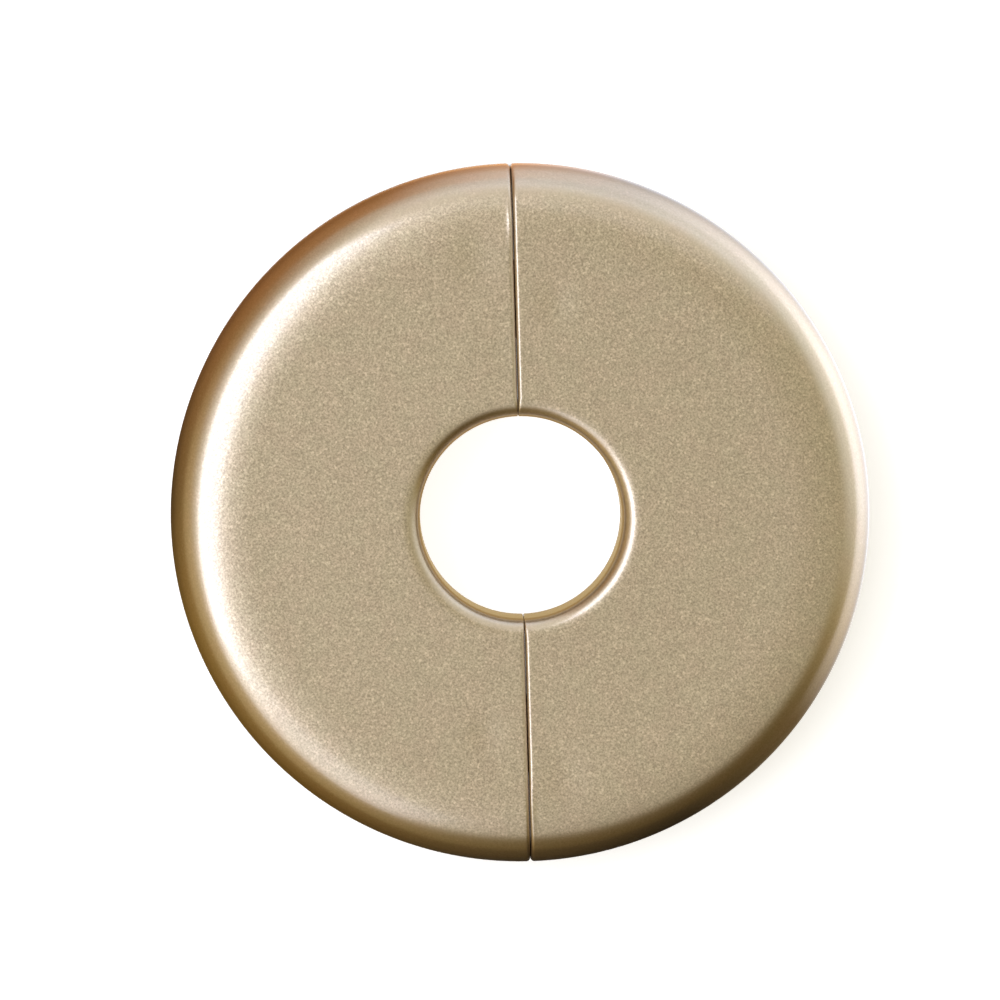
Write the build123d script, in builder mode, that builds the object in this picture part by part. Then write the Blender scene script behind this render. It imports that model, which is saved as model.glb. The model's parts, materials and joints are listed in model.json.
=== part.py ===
from build123d import *
from math import cos, radians, sin, tan
import os

# Two-piece escutcheon that covers the hole where a pipe enters a wall, in millimetres.
# The origin is on the pipe's axis in the plane of the wall and +Z points out of the wall.
# The seam between the halves lies along Y, so that they are pulled apart along X.

# Shell
disc_diameter = 73.0        # across the foot of the skirt
height = 12.0               # from the wall to the front face
wall = 1.8
crown_radius = 18.0         # the soft curve in which the front face starts to fall
crown_turn = 16.0           # degrees that it turns through before the shoulder takes over
shoulder_radius = 5.0       # the tighter curve from there into the skirt
skirt_draft = 2.5           # degrees, the skirt widens towards the wall
inner_bend = 0.3            # share of the way round the inner shoulder at which its two bands meet

# Bore and the collar behind it
pipe_diameter = 20.0
pipe_clearance = 0.4        # all round the pipe
bore_edge_radius = 1.6      # from the front face into the bore
collar_wall = 1.6
collar_depth = 7.0          # from the front face to the back of the collar

# Seam
seam_gap = 0.3              # between the two halves when they are pushed home
seam_bevel = 0.4            # on the edges that show along the seam

# Tongue on one end of each half, socket on the other
tongue_inset = 1.2          # from the edge of the flat underside to the tongue's outer side
tongue_width = 8.0
tongue_thickness = 1.6
tongue_reach = 6.5          # past the middle of the seam
tongue_root = 7.0           # length that is fused to its own half
tongue_root_slope = 1.0     # run of the slope where the root meets the face
tongue_nose_chamfer = 0.5
tongue_corner_radius = 1.2
fit_clearance = 0.15        # all round a tongue in its socket
socket_setback = 1.0        # from the middle of the seam to the mouth
socket_depth = 5.0
socket_rail = 1.6           # thickness of the two sides
socket_bridge = 1.4         # thickness of the bar behind the tongue
socket_corner_radius = 0.8
socket_lead_in = 0.4

# Sizes that follow from those above
disc_radius = disc_diameter / 2
bore_radius = pipe_diameter / 2 + pipe_clearance
collar_radius = bore_radius + collar_wall
collar_back = height - collar_depth
underside = height - wall
middle_of_wall = height - wall / 2
lean = tan(radians(skirt_draft))
inner_foot = disc_radius - wall / cos(radians(skirt_draft))
shoulder_turn = 90.0 - skirt_draft - crown_turn
seam_face = -seam_gap / 2
tongue_top = underside - fit_clearance
tongue_bottom = tongue_top - tongue_thickness
socket_floor = tongue_bottom - fit_clearance
socket_back = socket_floor - socket_bridge
socket_width = tongue_width + 2 * fit_clearance

# The crown starts where the curves after it come down exactly onto the drafted skirt
crown_drop = (crown_radius - shoulder_radius) * (1 - cos(radians(crown_turn)))
shoulder_level = height - shoulder_radius - crown_drop
skirt_top = shoulder_level + shoulder_radius * sin(radians(skirt_draft))
shoulder_centre = disc_radius - lean * skirt_top - shoulder_radius * cos(radians(skirt_draft))
flat_radius = shoulder_centre - (crown_radius - shoulder_radius) * sin(radians(crown_turn))
clip_offset = flat_radius - tongue_inset - tongue_width / 2

with BuildPart() as left_half:
    # The outside: front face, crown, shoulder, skirt and bore, turned about the pipe's axis
    bore_corner = (bore_radius, height)
    with BuildSketch(Plane.YZ) as outside:
        with BuildLine():
            crown = JernArc((flat_radius, height), (1, 0), crown_radius, -crown_turn)
            shoulder = JernArc(crown @ 1, crown % 1, shoulder_radius, -shoulder_turn)
            Polyline(shoulder @ 1, (disc_radius, 0), (bore_radius, 0), bore_corner, crown @ 0)
        make_face()
        fillet(outside.vertices().sort_by_distance(bore_corner)[0], bore_edge_radius)
    revolve(axis=Axis.Z)

    # The seam, with every edge that shows eased
    split(bisect_by=Plane.YZ.offset(seam_face), keep=Keep.BOTTOM)
    seam_edges = left_half.edges().filter_by_position(Axis.X, seam_face, seam_face)
    chamfer(seam_edges.filter_by_position(Axis.Z, 0, height, inclusive=(False, True)), seam_bevel)

    # The hollow back with the collar round the pipe; two flat bands follow the outer curves inside
    with BuildSketch(Plane.YZ) as hollow:
        with BuildLine():
            inner_crown = JernArc(
                (flat_radius, underside), (1, 0), crown_radius - wall, -crown_turn, mode=Mode.PRIVATE
            )
            inner_shoulder = JernArc(
                inner_crown @ 1, inner_crown % 1, shoulder_radius - wall, -shoulder_turn, mode=Mode.PRIVATE
            )
            Polyline(
                (0, 0),
                (0, collar_back),
                (collar_radius, collar_back),
                (collar_radius, underside),
                inner_crown @ 0,
                inner_shoulder @ inner_bend,
                inner_shoulder @ 1,
                (inner_foot, 0),
                close=True,
            )
        make_face()
    revolve(axis=Axis.Z, mode=Mode.SUBTRACT)

    # The tongue, a blade that grows from the back of the face and reaches under the other half
    with BuildSketch(Plane.XZ.offset(-clip_offset)) as tongue_side:
        with BuildLine():
            Polyline(
                (-tongue_root, middle_of_wall),
                (seam_face, middle_of_wall),
                (seam_face, tongue_top),
                (tongue_reach, tongue_top),
                (tongue_reach, tongue_bottom),
                (tongue_root_slope - tongue_root, tongue_bottom),
                (-tongue_root, underside),
                close=True,
            )
        make_face()
        chamfer(tongue_side.vertices().group_by(Axis.X)[-1], tongue_nose_chamfer)
    extrude(amount=tongue_width / 2, both=True)
    nose = left_half.faces().sort_by(Axis.X)[-1]
    fillet(nose.edges().filter_by(Axis.Z), tongue_corner_radius)

    # The socket for the other half's tongue, two rails and a bridge with a flared mouth
    with BuildSketch(Plane.YZ.offset(-socket_setback)) as socket_mouth:
        with Locations((-clip_offset, socket_back)):
            Rectangle(
                socket_width + 2 * socket_rail,
                middle_of_wall - socket_back,
                align=(Align.CENTER, Align.MIN),
            )
        fillet(socket_mouth.vertices().group_by(Axis.Y)[0], socket_corner_radius)
        with Locations((-clip_offset, socket_floor)):
            Rectangle(
                socket_width,
                underside - socket_floor,
                align=(Align.CENTER, Align.MIN),
                mode=Mode.SUBTRACT,
            )
    extrude(amount=-socket_depth)
    mouth_edges = left_half.edges().filter_by_position(Axis.X, -socket_setback, -socket_setback)
    rail_faces = (-clip_offset - socket_width / 2, -clip_offset + socket_width / 2)
    inner_edges = mouth_edges.filter_by_position(Axis.Y, *rail_faces)
    chamfer(inner_edges.filter_by_position(Axis.Z, socket_floor, tongue_top), socket_lead_in)
left_half.part.label = "left_half"

# The same moulding again, turned half round the pipe
with BuildPart() as right_half:
    add(left_half.part, rotation=(0, 0, 180))
right_half.part.label = "right_half"

os.makedirs("parts", exist_ok=True)
export_step(left_half.part, "parts/left_half.step")
export_step(right_half.part, "parts/right_half.step")
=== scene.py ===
import json
from math import asin, cos, exp, pi, radians, sin, sqrt, tan

import bmesh
import bpy
from mathutils import Matrix, Vector, noise


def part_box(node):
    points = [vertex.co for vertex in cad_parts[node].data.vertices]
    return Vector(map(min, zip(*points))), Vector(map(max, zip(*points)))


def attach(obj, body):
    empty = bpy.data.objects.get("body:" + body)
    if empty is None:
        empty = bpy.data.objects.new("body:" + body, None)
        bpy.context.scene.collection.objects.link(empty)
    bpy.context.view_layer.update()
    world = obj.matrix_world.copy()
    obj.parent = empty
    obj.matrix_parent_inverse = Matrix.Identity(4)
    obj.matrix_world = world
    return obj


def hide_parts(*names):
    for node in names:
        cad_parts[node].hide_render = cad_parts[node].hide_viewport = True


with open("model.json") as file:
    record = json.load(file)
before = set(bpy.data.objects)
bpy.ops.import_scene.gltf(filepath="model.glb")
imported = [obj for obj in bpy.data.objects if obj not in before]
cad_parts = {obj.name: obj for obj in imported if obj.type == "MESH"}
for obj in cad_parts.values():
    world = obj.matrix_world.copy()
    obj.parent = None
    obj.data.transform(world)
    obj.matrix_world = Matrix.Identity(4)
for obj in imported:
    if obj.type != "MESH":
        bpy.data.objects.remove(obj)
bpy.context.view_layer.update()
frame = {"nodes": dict(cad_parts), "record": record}                       # the two packed halves, at rest
mm = 0.001                              # the shapes below are written in millimetres
scene = bpy.context.scene
print("frame loaded:", ", ".join(sorted(frame["nodes"])))

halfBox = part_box("left_half")
pipeBore = next(m for m in frame["record"]["mounts"] if m["name"] == "pipe_bore")

# Section of the moulded half shell, in millimetres and degrees
shell = {
    "discRadius": -halfBox[0].x / mm,
    "height": halfBox[1].z / mm,
    "boreRadius": pipeBore["dims"]["r_mm"],
    "wall": 1.8,
    "crownRadius": 18.0,                # the face starts to fall in this soft curve
    "crownTurn": 16.0,
    "shoulderRadius": 5.0,              # and goes on into the skirt in this one
    "skirtDraft": 2.5,
    "boreEdge": 1.6,                    # depth of the rounding from the face into the bore
    "boreEdgeStretch": 1.2,             # it is that much wider than deep
    "collarWall": 1.6,
    "collarDepth": 7.0,
    "collarRoot": 0.5,
    "footRound": 0.25,
    "seamGap": 0.03,                    # pushed home
    "faceRound": 0.48,                  # seam edge on the flat face
    "rimRound": 0.42,                   # and where it runs down the shoulder
    "boreRound": 0.15,                  # in the bore and inside
    "insideRound": 0.12,
    "roundGain": 1.4,                   # how soon rim and bore take over from the face
}

# How finely each run of the section is divided, from the foot of the skirt to the back of the collar
runSteps = {
    "foot": 4,
    "skirt": 10,
    "shoulder": 30,
    "crown": 14,
    "face": 30,
    "edge": 14,
    "bore": 10,
    "collar": 4,
}
seamSteps = 8                           # across the rounding of a seam edge
besideSeam = {"width": 1.0, "steps": 6}     # finer columns next to it
sweepSteps = 186                        # round the rest of the half disc

# Sink marks over the clips and a lip on one seam edge: place on the left half, reach across and along the
# seam, and depth, which is negative where the face stands proud
faceMarks = [
    {"at": (-3.7, 27.0), "reach": (1.5, 2.1), "depth": 0.15},
    {"at": (-4.2, -22.0), "reach": (1.1, 1.4), "depth": 0.14},
    {"at": (-1.8, 17.5), "reach": (1.1, 2.6), "depth": 0.03},
    {"at": (-0.14, 30.3), "reach": (0.22, 1.6), "depth": -0.16},
]
faceWaver = {"height": 0.006, "length": 13.0}
faceFade = {"upright": 0.5, "power": 8}     # marks and waver die out as the shell turns into the shoulder


def arcRun(centre, radius, fromTurn, toTurn, steps, hollow=False, stretch=1.0):
    # turns are measured from straight up; a hollow arc faces its own centre, stretch widens it across
    side = -1 if hollow else 1
    points = []
    for i in range(steps + 1):
        turn = radians(fromTurn + (toTurn - fromTurn) * i / steps)
        facing = Vector((sin(turn) / stretch, cos(turn))).normalized() * side
        r = centre[0] + radius * stretch * sin(turn)
        z = centre[1] + radius * cos(turn)
        points.append((r, z, *facing))
    return points


def lineRun(start, end, steps, facing):
    points = []
    for i in range(steps + 1):
        share = i / steps
        r = start[0] + (end[0] - start[0]) * share
        z = start[1] + (end[1] - start[1]) * share
        points.append((r, z, *facing))
    return points


def joinRuns(runs):
    path = list(runs[0])
    for run in runs[1:]:
        path += run[1:]                 # each run starts where the last one ended
    return path


def shellPaths():
    s = shell
    draft = radians(s["skirtDraft"])
    steepest = 90 - s["skirtDraft"]
    crownTurn = radians(s["crownTurn"])
    drop = (s["crownRadius"] - s["shoulderRadius"]) * (1 - cos(crownTurn))
    level = s["height"] - s["shoulderRadius"] - drop
    skirtTop = level + s["shoulderRadius"] * sin(draft)
    shoulderAt = s["discRadius"] - tan(draft) * skirtTop - s["shoulderRadius"] * cos(draft)
    flatRadius = shoulderAt - (s["crownRadius"] - s["shoulderRadius"]) * sin(crownTurn)
    collarBack = s["height"] - s["collarDepth"]
    collarRadius = s["boreRadius"] + s["collarWall"]
    underside = s["height"] - s["wall"]
    foot = s["footRound"]
    root = s["collarRoot"]
    shoulder = (shoulderAt, level)
    crown = (flatRadius, s["height"] - s["crownRadius"])

    def skirtAt(z, inset):
        return s["discRadius"] - tan(draft) * z - inset / cos(draft)

    def follow(inset, hollow):
        # skirt, shoulder, crown: the same curves outside and, a wall further in, inside
        facing = (-cos(draft), -sin(draft)) if hollow else (cos(draft), sin(draft))
        tight = s["shoulderRadius"] - inset
        top = level + tight * sin(draft)
        return [
            lineRun((skirtAt(foot, inset), foot), (skirtAt(top, inset), top), runSteps["skirt"], facing),
            arcRun(shoulder, tight, steepest, s["crownTurn"], runSteps["shoulder"], hollow),
            arcRun(crown, s["crownRadius"] - inset, s["crownTurn"], 0, runSteps["crown"], hollow),
        ]

    boreTop = s["height"] - s["boreEdge"]
    edgeAt = s["boreRadius"] + s["boreEdge"] * s["boreEdgeStretch"]
    outside = joinRuns([
        arcRun((skirtAt(foot, foot), foot), foot, 180, steepest, runSteps["foot"]),
        *follow(0, False),
        lineRun((flatRadius, s["height"]), (edgeAt, s["height"]), runSteps["face"], (0, 1)),
        arcRun((edgeAt, boreTop), s["boreEdge"], 0, -90, runSteps["edge"], False, s["boreEdgeStretch"]),
        lineRun((s["boreRadius"], boreTop), (s["boreRadius"], collarBack + foot),
                runSteps["bore"], (-1, 0)),
        arcRun((s["boreRadius"] + foot, collarBack + foot), foot, -90, -180, runSteps["collar"]),
    ])
    inside = joinRuns([
        arcRun((skirtAt(foot, s["wall"]) + foot, foot), foot, 180, 270, runSteps["foot"]),
        *follow(s["wall"], True),
        lineRun((flatRadius, underside), (collarRadius + root, underside), runSteps["face"], (0, -1)),
        arcRun((collarRadius + root, underside - root), root, 0, -90, runSteps["edge"], True),
        lineRun((collarRadius, underside - root), (collarRadius, collarBack + foot),
                runSteps["bore"], (1, 0)),
        arcRun((collarRadius - foot, collarBack + foot), foot, 90, 180, runSteps["collar"]),
    ])
    return outside, inside, flatRadius


outsidePath, insidePath, flatRadius = shellPaths()


def seamRound(r, nr, isOutside):
    # the seam's edges are rounded most on the flat face, a little less on the rim and least in the bore
    if not isOutside:
        return shell["insideRound"]
    end = "rimRound" if r > flatRadius else "boreRound"
    share = min(1.0, abs(nr) * shell["roundGain"])
    return shell["faceRound"] + (shell[end] - shell["faceRound"]) * share


def faceDip(x, y):
    dip = 0.0
    for mark in faceMarks:
        across = (x - mark["at"][0]) / mark["reach"][0]
        along = (y - mark["at"][1]) / mark["reach"][1]
        dip += mark["depth"] * exp(-0.5 * (across ** 2 + along ** 2))
    wave = noise.noise(Vector((x, y, 0.0)) / faceWaver["length"])
    return dip + faceWaver["height"] * (1 + wave)


def ringOf(point, isOutside):
    # one point of the section carried round the half disc, from the +Y seam to the -Y seam
    r, z, nr, nz = point
    ease = seamRound(r, nr, isOutside)
    gap = shell["seamGap"] / 2
    near = []
    for k in range(seamSteps + 1):
        swing = k / seamSteps * pi / 2
        x = -(gap + ease * (1 - cos(swing)))
        sunk = ease * (1 - sin(swing))
        near.append((x, sqrt((r - sunk * nr) ** 2 - x * x), z - sunk * nz))
    for k in range(1, besideSeam["steps"] + 1):
        x = -(gap + ease + besideSeam["width"] * k / besideSeam["steps"])
        near.append((x, sqrt(r * r - x * x), z))
    first = asin((gap + ease + besideSeam["width"]) / r)
    middle = []
    for k in range(1, sweepSteps):
        turn = first + (pi - 2 * first) * k / sweepSteps
        middle.append((-r * sin(turn), r * cos(turn), z))
    ring = near + middle + [(x, -y, z) for x, y, z in reversed(near)]
    if isOutside and nz > faceFade["upright"]:
        ring = [(x, y, z - faceDip(x, y) * nz ** faceFade["power"]) for x, y, z in ring]
    return ring


def shellMesh(name):
    rings = [ringOf(p, True) for p in outsidePath] + [ringOf(p, False) for p in reversed(insidePath)]
    count = len(rings)
    width = len(rings[0])
    verts = [Vector(p) * mm for ring in rings for p in ring]
    faces = []
    inner = []
    for i in range(count):
        after = (i + 1) % count
        for j in range(width - 1):
            here = i * width + j
            there = after * width + j
            faces.append((here, there, there + 1, here + 1))
            inner.append(0 if i < len(outsidePath) - 1 else 1)
    for j in (0, width - 1):            # the two seam faces, one quad across the wall
        for i in range(len(outsidePath) - 1):
            back = count - 1 - i
            faces.append((i * width + j, (i + 1) * width + j, (back - 1) * width + j, back * width + j))
            inner.append(1)
    mesh = bpy.data.meshes.new(name)
    mesh.from_pydata(verts, [], faces)
    mesh.polygons.foreach_set("material_index", inner)
    work = bmesh.new()
    work.from_mesh(mesh)
    bmesh.ops.recalc_face_normals(work, faces=work.faces)
    work.to_mesh(mesh)
    work.free()
    return mesh


# Tongue on one end of a half and socket on the other, both moulded on behind the face
clip = {
    "inset": 1.2,                       # from the edge of the flat underside
    "width": 8.0,
    "thickness": 1.6,
    "reach": 6.5,                       # past the middle of the seam
    "root": 7.0,                        # length fused to its own half
    "rootSlope": 1.0,
    "noseChamfer": 0.5,
    "noseCorner": 1.2,
    "room": 0.15,                       # all round a tongue in its socket
    "setback": 1.0,                     # from the middle of the seam to the socket's mouth
    "depth": 5.0,
    "rail": 1.6,
    "bridge": 1.4,
    "socketCorner": 0.8,
    "cornerSteps": 6,
    "socketSteps": 5,
    "edge": 0.18,                       # rounding of all the other edges
    "edgeSteps": 2,
    "edgeTurn": 50.0,                   # which are those that turn by more than this
    "sunk": 0.9,                        # how far the roots reach into the wall
    "proud": 0.01,
    "slack": 0.01,                      # for finding edges by their place
}


def prism(name, outline, toPlace, length):
    # a closed bar: the outline at both ends, carried into place by toPlace(u, v, w)
    count = len(outline)
    verts = [Vector(toPlace(u, v, w)) * mm for w in (-length / 2, length / 2) for u, v in outline]
    faces = [tuple(range(count)), tuple(range(2 * count - 1, count - 1, -1))]
    faces += [(i, (i + 1) % count, count + (i + 1) % count, count + i) for i in range(count)]
    mesh = bpy.data.meshes.new(name)
    mesh.from_pydata(verts, [], faces)
    work = bmesh.new()
    work.from_mesh(mesh)
    bmesh.ops.recalc_face_normals(work, faces=work.faces)
    return mesh, work


def easeEdges(work, edges, radius, steps):
    bmesh.ops.bevel(
        work, geom=list(edges), offset=radius * mm, offset_type="OFFSET", segments=steps, profile=0.5,
        affect="EDGES", clamp_overlap=True,
    )


def acrossSeam(edge):
    # runs across the seam or upright, not along it
    return abs(edge.verts[0].co.y - edge.verts[1].co.y) < clip["slack"] * mm


def finishBar(name, mesh, work):
    bends = [e for e in work.edges if len(e.link_faces) == 2]
    sharp = [e for e in bends if e.calc_face_angle() > radians(clip["edgeTurn"])]
    easeEdges(work, sharp, clip["edge"], clip["edgeSteps"])
    for face in work.faces:
        face.material_index = 1
    work.to_mesh(mesh)
    work.free()
    bar = bpy.data.objects.new(name, mesh)
    scene.collection.objects.link(bar)
    return bar


def tongueBar():
    c = clip
    underside = shell["height"] - shell["wall"]
    high = underside + c["sunk"]
    top = underside - c["room"]
    low = top - c["thickness"]
    seamFace = -shell["seamGap"] / 2 + c["proud"]
    nose = c["noseChamfer"]
    offset = flatRadius - c["inset"] - c["width"] / 2
    outline = [
        (-c["root"], high), (seamFace, high), (seamFace, top), (c["reach"] - nose, top),
        (c["reach"], top - nose), (c["reach"], low + nose), (c["reach"] - nose, low),
        (c["rootSlope"] - c["root"], low), (-c["root"], underside),
    ]
    mesh, work = prism("tongueBar", outline, lambda u, v, w: (u, offset + w, v), c["width"])
    front = (c["reach"] - nose - c["slack"]) * mm
    atNose = [e for e in work.edges if all(v.co.x > front for v in e.verts)]
    easeEdges(work, filter(acrossSeam, atNose), c["noseCorner"], c["cornerSteps"])
    return finishBar("tongueBar", mesh, work)


def socketBar():
    c = clip
    underside = shell["height"] - shell["wall"]
    high = underside + c["sunk"]
    slot = underside - 2 * c["room"] - c["thickness"]
    back = slot - c["bridge"]
    half = c["width"] / 2 + c["room"]
    wide = half + c["rail"]
    offset = -(flatRadius - c["inset"] - c["width"] / 2)
    outline = [
        (-wide, high), (-wide, back), (wide, back), (wide, high),
        (half, high), (half, slot), (-half, slot), (-half, high),
    ]
    middle = -c["setback"] - c["depth"] / 2
    mesh, work = prism("socketBar", outline, lambda u, v, w: (middle + w, offset + u, v), c["depth"])
    lowest = (back + c["slack"]) * mm
    atBack = [e for e in work.edges if all(v.co.z < lowest for v in e.verts)]
    easeEdges(work, filter(acrossSeam, atBack), c["socketCorner"], c["socketSteps"])
    return finishBar("socketBar", mesh, work)


sharpAbove = radians(38)                # edges steeper than this stay crisp


def mouldedHalf():
    whole = bpy.data.objects.new("moulding", shellMesh("moulding"))
    scene.collection.objects.link(whole)
    bars = [tongueBar(), socketBar()]
    for bar in bars:
        join = whole.modifiers.new("join " + bar.name, "BOOLEAN")
        join.operation = "UNION"
        join.solver = "EXACT"
        join.object = bar
    depsgraph = bpy.context.evaluated_depsgraph_get()
    mesh = bpy.data.meshes.new_from_object(whole.evaluated_get(depsgraph))
    for bar in bars:
        bpy.data.objects.remove(bar)
    bpy.data.objects.remove(whole)
    mesh.polygons.foreach_set("use_smooth", [True] * len(mesh.polygons))
    mesh.set_sharp_from_angle(angle=sharpAbove)
    return mesh


# Champagne paint: colours are linear, grain and flecks in millimetres
paint = {
    "dark": (0.275, 0.206, 0.119, 1.0),
    "light": (0.685, 0.538, 0.362, 1.0),
    "rosy": (1.010, 0.995, 1.000, 1.0),   # the hue drifts a little between these two
    "green": (0.990, 1.005, 0.994, 1.0),
    "thin": (0.330, 0.215, 0.095, 1.0),   # low on the skirt the paint turns darker and browner: thin spray there, and painted shade
    "edgeTint": (0.30, 0.19, 0.08, 1.0),
    "metallic": 0.97,
    "roughness": 0.32,
    "coat": 1.0,
    "coatRoughness": 0.17,
    "coatIor": 1.80,
    "grainSize": 0.20,
    "grainDetail": 2.0,
    "grainRough": 0.6,
    "grainSpan": (0.32, 0.68),          # stretched to the whole range from dark to light
    "grainShare": 0.75,
    "grainTurn": (0.52, 0.34, 0.73),
    "fleckSize": 0.22,
    "fleckRarity": 8.0,
    "fleckShare": 0.42,
    "meanTone": 0.42,
    "shoulderGrain": 0.25,              # share of the grain that is left on the steep shoulder
    "flatSpan": (0.90, 0.985),          # how upright the surface is on the shoulder and on the face
    "driftSize": 2.6,
    "driftDetail": 1.0,
    "driftSpan": (0.35, 0.65),
    "peelHeight": 0.004,
    "thinFrom": 7.0,                    # height on the skirt below which it darkens: thin spray, and painted shade
    "thinTo": 0.5,
    "thinMost": 0.55,
}


def nodeMaker(owner):
    owner.use_nodes = True
    tree = owner.node_tree
    tree.nodes.clear()

    def make(kind, settings=None, values=None, **inputs):
        # a new node: its settings, its sockets by number and by name; gives back its outputs
        node = tree.nodes.new(kind)
        for key, value in (settings or {}).items():
            setattr(node, key, value)
        named = {key.replace("_", " "): value for key, value in inputs.items()}
        for key, value in [*(values or {}).items(), *named.items()]:
            socket = node.inputs[key]
            if isinstance(value, bpy.types.NodeSocket):
                tree.links.new(value, socket)
            else:
                socket.default_value = value
        return node.outputs

    def calc(operation, *terms):
        return make("ShaderNodeMath", {"operation": operation}, dict(enumerate(terms)))[0]

    def blend(share, low, high, way="MIX"):
        settings = {"data_type": "RGBA", "blend_type": way}
        return make("ShaderNodeMix", settings, {0: share, 6: low, 7: high})[2]

    return make, calc, blend


def paintMaterial(name, look):
    material = bpy.data.materials.new(name)
    make, calc, blend = nodeMaker(material)

    def spread(value, span, **ends):
        return make("ShaderNodeMapRange", Value=value, From_Min=span[0], From_Max=span[1], **ends)[0]

    place = make("ShaderNodeTexCoord")["Object"]
    inMm = make("ShaderNodeVectorMath", {"operation": "SCALE"}, Vector=place, Scale=1 / mm)[0]

    # metal grain with a few bright flecks in it, turned so that it shows no straight rows on the face
    askew = make("ShaderNodeMapping", Vector=inMm, Rotation=look["grainTurn"])[0]
    grain = make("ShaderNodeTexNoise", Vector=askew, Scale=1 / look["grainSize"], Detail=look["grainDetail"],
                 Roughness=look["grainRough"])["Fac"]
    even = spread(grain, look["grainSpan"])
    cells = make("ShaderNodeTexVoronoi", Vector=askew, Scale=1 / look["fleckSize"])["Color"]
    fleck = calc("POWER", make("ShaderNodeSeparateColor", Color=cells)["Red"], look["fleckRarity"])
    mottle = calc("MULTIPLY_ADD", fleck, look["fleckShare"], calc("MULTIPLY", even, look["grainShare"]))

    # the spray lies smoother on the shoulder than on the flat face
    upward = make("ShaderNodeSeparateXYZ", Vector=make("ShaderNodeTexCoord")["Normal"])["Z"]
    keep = spread(upward, look["flatSpan"], To_Min=look["shoulderGrain"])
    tone = calc("MULTIPLY_ADD", calc("SUBTRACT", mottle, look["meanTone"]), keep, look["meanTone"])
    metal = blend(tone, look["dark"], look["light"])

    # slow drift of hue, and darker brown low on the skirt: thin spray there, and painted shade
    drift = make("ShaderNodeTexNoise", Vector=inMm, Scale=1 / look["driftSize"],
                 Detail=look["driftDetail"])["Fac"]
    hue = spread(drift, look["driftSpan"])
    drifted = blend(1.0, metal, blend(hue, look["rosy"], look["green"]), "MULTIPLY")
    high = make("ShaderNodeSeparateXYZ", Vector=inMm)["Z"]
    thin = make("ShaderNodeMapRange", {"interpolation_type": "SMOOTHSTEP"}, Value=high,
                From_Min=look["thinFrom"], From_Max=look["thinTo"], To_Max=look["thinMost"])[0]
    colour = blend(thin, drifted, look["thin"])

    peel = make("ShaderNodeBump", Distance=look["peelHeight"] * mm, Height=even)[0]
    surface = make(
        "ShaderNodeBsdfPrincipled", Base_Color=colour, Normal=peel, Metallic=look["metallic"],
        Roughness=look["roughness"], Specular_Tint=look["edgeTint"], Coat_Weight=look["coat"],
        Coat_Roughness=look["coatRoughness"], Coat_IOR=look["coatIor"],
    )
    make("ShaderNodeOutputMaterial", Surface=surface[0])
    return material


champagnePaint = paintMaterial("champagnePaint", paint)
# the spray barely reaches the inside
insideLook = dict(paint, roughness=0.55, coat=0.3, coatRoughness=0.4, metallic=0.4, thinMost=0.0)
thinCoat = paintMaterial("thinInsideCoat", insideLook)
print("paint mixed")

halfMesh = mouldedHalf()
print("moulding made:", len(halfMesh.polygons), "faces")


def placeHalf(name, node, turn):
    mesh = halfMesh.copy()
    mesh.name = name
    mesh.transform(Matrix.Rotation(turn, 4, "Z"))
    mesh.materials.clear()
    mesh.materials.append(champagnePaint)
    mesh.materials.append(thinCoat)
    half = bpy.data.objects.new(name, mesh)
    scene.collection.objects.link(half)
    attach(half, node)
    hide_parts(node)


placeHalf("paintedLeftHalf", "left_half", 0.0)
placeHalf("paintedRightHalf", "right_half", pi)
print("halves placed")


# Floor that reads white; its underside is see-through, so that the back can be looked at
floor = {
    "size": 4.0,                        # metres
    "drop": 0.02,                       # millimetres below the foot of the skirt
    "colour": (0.93, 0.915, 0.89, 1.0),
    "roughness": 0.9,
    "shine": 0.1,
    "lift": 0.36,                       # the floor is seen this much lighter than it is lit
    "boreLift": 0.70,                   # and more so through the bore, where little light falls
    "boreFade": 2.2,                    # bore radii at which that is gone
}


def layFloor():
    mesh = bpy.data.meshes.new("floor")
    reach = floor["size"] / 2
    low = -floor["drop"] * mm
    corners = [(-reach, -reach, low), (reach, -reach, low), (reach, reach, low), (-reach, reach, low)]
    mesh.from_pydata(corners, [], [(0, 1, 2, 3)])
    plane = bpy.data.objects.new("floor", mesh)
    scene.collection.objects.link(plane)
    material = bpy.data.materials.new("whiteFloor")
    make, calc = nodeMaker(material)[:2]
    rays = make("ShaderNodeLightPath")
    mirrored = calc("MAXIMUM", rays["Is Glossy Ray"], rays["Is Transmission Ray"])
    seen = calc("MAXIMUM", rays["Is Camera Ray"], mirrored)
    place = make("ShaderNodeTexCoord")["Object"]
    fromAxis = make("ShaderNodeVectorMath", {"operation": "LENGTH"}, Vector=place)["Value"]
    bore = shell["boreRadius"] * mm
    lightened = make("ShaderNodeMapRange", {"interpolation_type": "SMOOTHSTEP"}, Value=fromAxis,
                     From_Min=bore, From_Max=bore * floor["boreFade"],
                     To_Min=floor["boreLift"], To_Max=floor["lift"])[0]
    lift = calc("MULTIPLY", seen, lightened)
    surface = make(
        "ShaderNodeBsdfPrincipled", Base_Color=floor["colour"], Roughness=floor["roughness"],
        Specular_IOR_Level=floor["shine"], Emission_Color=(1.0, 1.0, 1.0, 1.0), Emission_Strength=lift,
    )[0]
    clear = make("ShaderNodeBsdfTransparent")[0]
    back = make("ShaderNodeNewGeometry")["Backfacing"]
    oneSided = make("ShaderNodeMixShader", None, {0: back, 1: surface, 2: clear})[0]
    make("ShaderNodeOutputMaterial", Surface=oneSided)
    material.cycles.emission_sampling = "NONE"
    mesh.materials.append(material)


layFloor()
print("floor laid")


# Camera, from the place of the disc, the bore and the seam in the photograph
camera = {
    "distance": 400.0,
    "leanX": -0.72,                     # degrees off the pipe's axis, towards the left and the top
    "leanY": 3.90,
    "roll": 1.67,
    "aim": (-2.05, 1.56, 6.0),
    "lens": 138.7,
    "sensor": 36.0,
    "nearest": 10.0,
}


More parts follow.
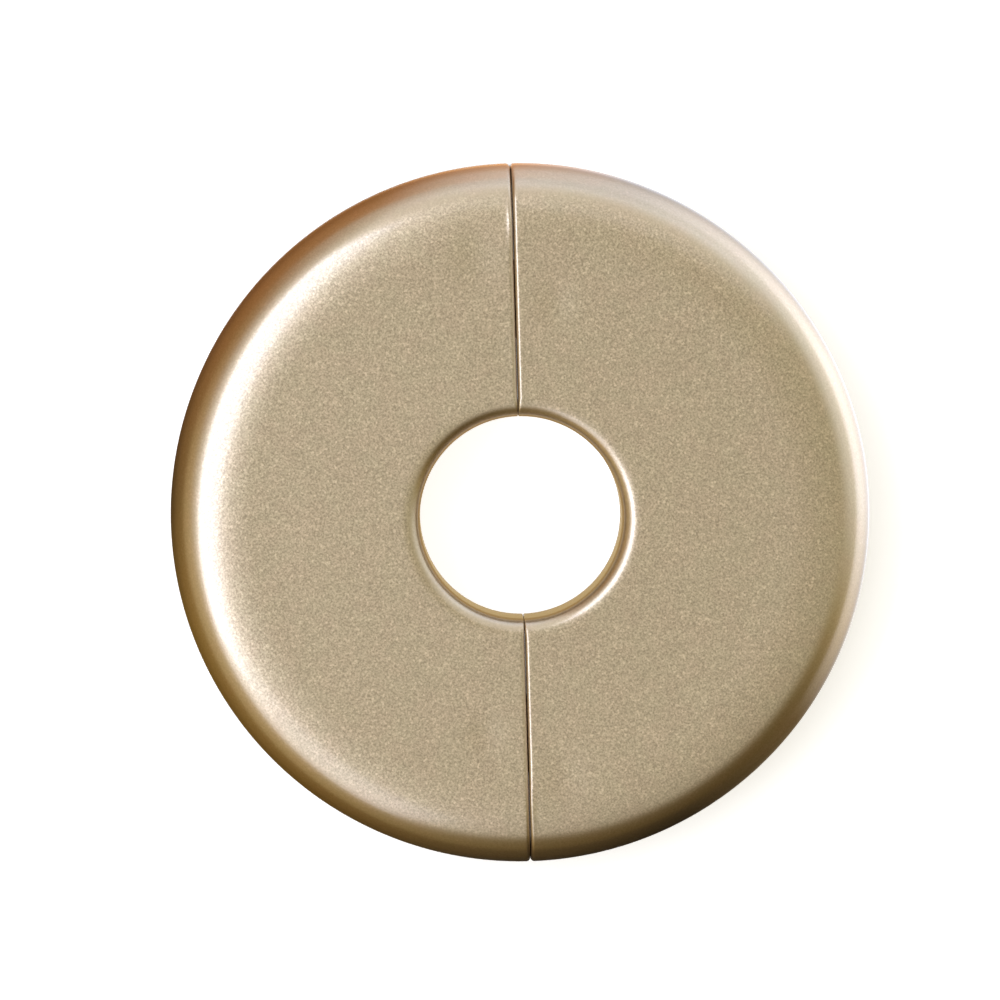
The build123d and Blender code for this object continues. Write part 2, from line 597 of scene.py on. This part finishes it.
def setCamera():
    c = camera
    away = Vector((sin(radians(c["leanX"])), sin(radians(c["leanY"])), 0.0))
    away.z = sqrt(1 - away.length_squared)
    roll = radians(c["roll"])
    upright = Vector((sin(roll), cos(roll), 0.0))
    right = upright.cross(away).normalized()
    up = away.cross(right)
    eye = Vector(c["aim"]) + away * c["distance"]
    data = bpy.data.cameras.new("camera")
    data.lens = c["lens"]
    data.sensor_width = c["sensor"]
    data.clip_start = c["nearest"] * mm
    view = bpy.data.objects.new("camera", data)
    turn = Matrix((right, up, away)).transposed().to_4x4()
    view.matrix_world = Matrix.Translation(eye * mm) @ turn
    scene.collection.objects.link(view)
    scene.camera = view


setCamera()
print("camera set")


# Lamps: where each stands round the pipe (0 is +X, 90 is +Y), how far it leans from the axis, and its size
lamps = {
    "window": {"around": 166, "lean": 36.5, "roll": -5, "distance": 420, "size": (480, 160), "radiance": 2.9,
               "colour": (0.87, 1.0, 1.36)},
    "lowPanel": {"around": 226, "lean": 46, "roll": 0, "distance": 420, "size": (300, 210), "radiance": 0.95,
                 "colour": (0.90, 1.0, 1.30)},
    "topPanel": {"around": 78, "lean": 52, "roll": 0, "distance": 420, "size": (560, 360), "radiance": 0.45,
                 "colour": (0.92, 1.0, 1.25)},
}


def hangLamp(name, lamp):
    lean = radians(lamp["lean"])
    around = radians(lamp["around"])
    away = Vector((sin(lean) * cos(around), sin(lean) * sin(around), cos(lean)))
    data = bpy.data.lights.new(name, "AREA")
    data.shape = "RECTANGLE"
    data.size = lamp["size"][0] * mm
    data.size_y = lamp["size"][1] * mm
    data.color = lamp["colour"]
    data.energy = lamp["radiance"] * data.size * data.size_y * pi
    light = bpy.data.objects.new(name, data)
    light.location = away * lamp["distance"] * mm
    roll = Matrix.Rotation(radians(lamp["roll"]), 3, "Z")
    facing = away.to_track_quat("Z", "Y").to_matrix() @ roll
    light.rotation_euler = facing.to_euler()
    scene.collection.objects.link(light)


for lampName, lampLook in lamps.items():
    hangLamp(lampName, lampLook)


# Painted reflections round the part, and the room's walls: near is the glow of the card just beside it,
# table the glow further out, both seen only in reflections, and wall the room's light behind, at some
# degrees round the pipe (0 is +X, 90 is +Y)
sides = {
    "right": {"at": 0, "near": (1.75, 1.90, 2.16), "table": (2.35, 2.55, 3.05),
              "wall": (1.20, 1.26, 1.24)},
    "rightHigh": {"at": 22, "near": (2.00, 2.18, 2.48), "table": (2.75, 3.00, 3.55),
                  "wall": (1.44, 1.54, 1.62)},
    "upperRight": {"at": 44, "near": (1.30, 1.42, 1.62), "table": (2.00, 2.16, 2.58),
                   "wall": (1.45, 1.59, 1.84)},
    "topRight": {"at": 68, "near": (0.98, 1.02, 1.12), "table": (1.32, 1.44, 1.76),
                 "wall": (1.12, 1.24, 1.50)},
    "top": {"at": 90, "near": (1.12, 0.56, 0.22), "table": (1.30, 1.18, 1.22),
            "wall": (1.22, 1.34, 1.60)},
    "topLeft": {"at": 112, "near": (0.48, 0.21, 0.06), "table": (0.66, 0.34, 0.14),
                "wall": (0.92, 0.82, 0.74)},
    "upperLeft": {"at": 142, "near": (0.26, 0.11, 0.03), "table": (0.48, 0.225, 0.065),
                  "wall": (0.50, 0.27, 0.085)},
    "left": {"at": 176, "near": (0.07, 0.04, 0.007), "table": (0.27, 0.165, 0.04),
             "wall": (0.66, 0.49, 0.22)},
    "leftLow": {"at": 198, "near": (0.24, 0.14, 0.015), "table": (0.42, 0.27, 0.06),
                "wall": (0.80, 0.64, 0.33)},
    "lowerLeft": {"at": 232, "near": (0.16, 0.09, 0.011), "table": (0.28, 0.165, 0.03),
                  "wall": (0.62, 0.47, 0.20)},
    "bottom": {"at": 262, "near": (0.05, 0.04, 0.03), "table": (0.12, 0.082, 0.028),
               "wall": (0.26, 0.19, 0.07)},
    "bottomRight": {"at": 296, "near": (0.03, 0.023, 0.015), "table": (0.03, 0.02, 0.006),
                    "wall": (0.11, 0.07, 0.014)},
    "lowerRight": {"at": 322, "near": (0.32, 0.25, 0.15), "table": (0.24, 0.17, 0.07),
                   "wall": (0.17, 0.11, 0.02)},
    "rightLow": {"at": 338, "near": (1.12, 1.10, 1.06), "table": (1.30, 1.25, 1.16),
                 "wall": (0.52, 0.42, 0.17)},
}


def sideAt(turn, part):
    # neighbouring sides run into each other
    ordered = list(sides.values())
    for here, after in zip(ordered, ordered[1:] + ordered[:1]):
        end = after["at"] if after["at"] > here["at"] else 360
        if turn <= end:
            share = (turn - here["at"]) / (end - here["at"])
            return Vector(here[part]).lerp(Vector(after[part]), share)


# Overhead the room gets darker and warmer towards the right and the top
overhead = {
    "pale": (1.24, 1.26, 1.33, 1.0),
    "dim": (0.50, 0.46, 0.22, 1.0),
    "alongX": -0.75,
    "alongY": -0.25,
    "fadesFrom": 0.80,                  # height at which the walls start to show
    "fadesTo": 0.31,                    # and where they are all there is
    "fadeLean": 0.16,                   # both lie higher towards the bottom
}


def lightRoom():
    world = bpy.data.worlds.new("room")
    scene.world = world
    make, calc, blend = nodeMaker(world)
    way = make("ShaderNodeSeparateXYZ", Vector=make("ShaderNodeTexCoord")["Generated"])
    slopeY = calc("MULTIPLY", way["Y"], overhead["alongY"])
    slope = calc("MULTIPLY_ADD", way["X"], overhead["alongX"], slopeY)
    share = make("ShaderNodeMapRange", Value=slope, From_Min=-1.0, From_Max=1.0)[0]
    above = blend(share, overhead["dim"], overhead["pale"])
    turn = calc("WRAP", calc("ARCTAN2", way["Y"], way["X"]), 2 * pi, 0.0)
    walls = make("ShaderNodeValToRGB", Fac=calc("DIVIDE", turn, 2 * pi))["Color"]
    stops = walls.node.color_ramp.elements
    stops[0].color = stops[1].color = (*sides["right"]["wall"], 1.0)    # the round closes where it starts
    for side in list(sides.values())[1:]:
        stops.new(side["at"] / 360).color = (*side["wall"], 1.0)
    level = calc("MULTIPLY_ADD", way["Y"], overhead["fadeLean"], way["Z"])
    low = make("ShaderNodeMapRange", {"interpolation_type": "SMOOTHSTEP"}, Value=level,
               From_Min=overhead["fadesFrom"], From_Max=overhead["fadesTo"])[0]
    glow = make("ShaderNodeBackground", Color=blend(low, above, walls))
    make("ShaderNodeOutputWorld", Surface=glow[0])


lightRoom()


# Glowing sheets that lie round the part and under its bore, which only reflections see: painted reflections,
# dark on some sides and bright on others
tableCard = {"rings": ((36.6, "near"), (53.0, "table"), (3000.0, "table")), "steps": 120, "above": 0.1}
# a brown glowing disc under the bore: painted reflection in the bore's wall
boreCard = {"colour": (0.74, 0.55, 0.26), "inset": 0.2, "steps": 48}
cardPaint = bpy.data.materials.new("cardPaint")


# the cards glow in their own tone and are no lamp: painted reflections
def mixReflectionGlow():
    make = nodeMaker(cardPaint)[0]
    tone = make("ShaderNodeAttribute", {"attribute_name": "tone"})["Color"]
    make("ShaderNodeOutputMaterial", Surface=make("ShaderNodeEmission", Color=tone)[0])
    cardPaint.cycles.emission_sampling = "NONE"


def layCard(name, verts, faces, tones):
    mesh = bpy.data.meshes.new(name)
    mesh.from_pydata([Vector(v) * mm for v in verts], [], faces)
    shade = mesh.attributes.new("tone", "FLOAT_COLOR", "POINT")
    for i, tone in enumerate(tones):
        shade.data[i].color = (*tone, 1.0)
    mesh.materials.append(cardPaint)
    sheet = bpy.data.objects.new(name, mesh)
    scene.collection.objects.link(sheet)
    sheet.visible_camera = False
    sheet.visible_diffuse = False
    sheet.visible_shadow = False


def onTable(r, turn):
    return (r * cos(radians(turn)), r * sin(radians(turn)), tableCard["above"])


def layCards():
    verts = []
    faces = []
    tones = []
    width = len(tableCard["rings"])
    for i in range(tableCard["steps"] + 1):
        turn = 360 * i / tableCard["steps"]
        for r, part in tableCard["rings"]:
            verts.append(onTable(r, turn))
            tones.append(sideAt(turn, part))
        if i:
            for a in range(width * (i - 1), width * i - 1):
                faces.append((a, a + 1, a + 1 + width, a + width))
    layCard("tableCard", verts, faces, tones)
    steps = boreCard["steps"]
    r = shell["boreRadius"] - boreCard["inset"]
    verts = [onTable(r, 360 * i / steps) for i in range(steps)]
    layCard("boreCard", verts, [tuple(range(steps))], [boreCard["colour"]] * steps)


mixReflectionGlow()
layCards()

scene.view_settings.view_transform = "Standard"
print("lights and room set")
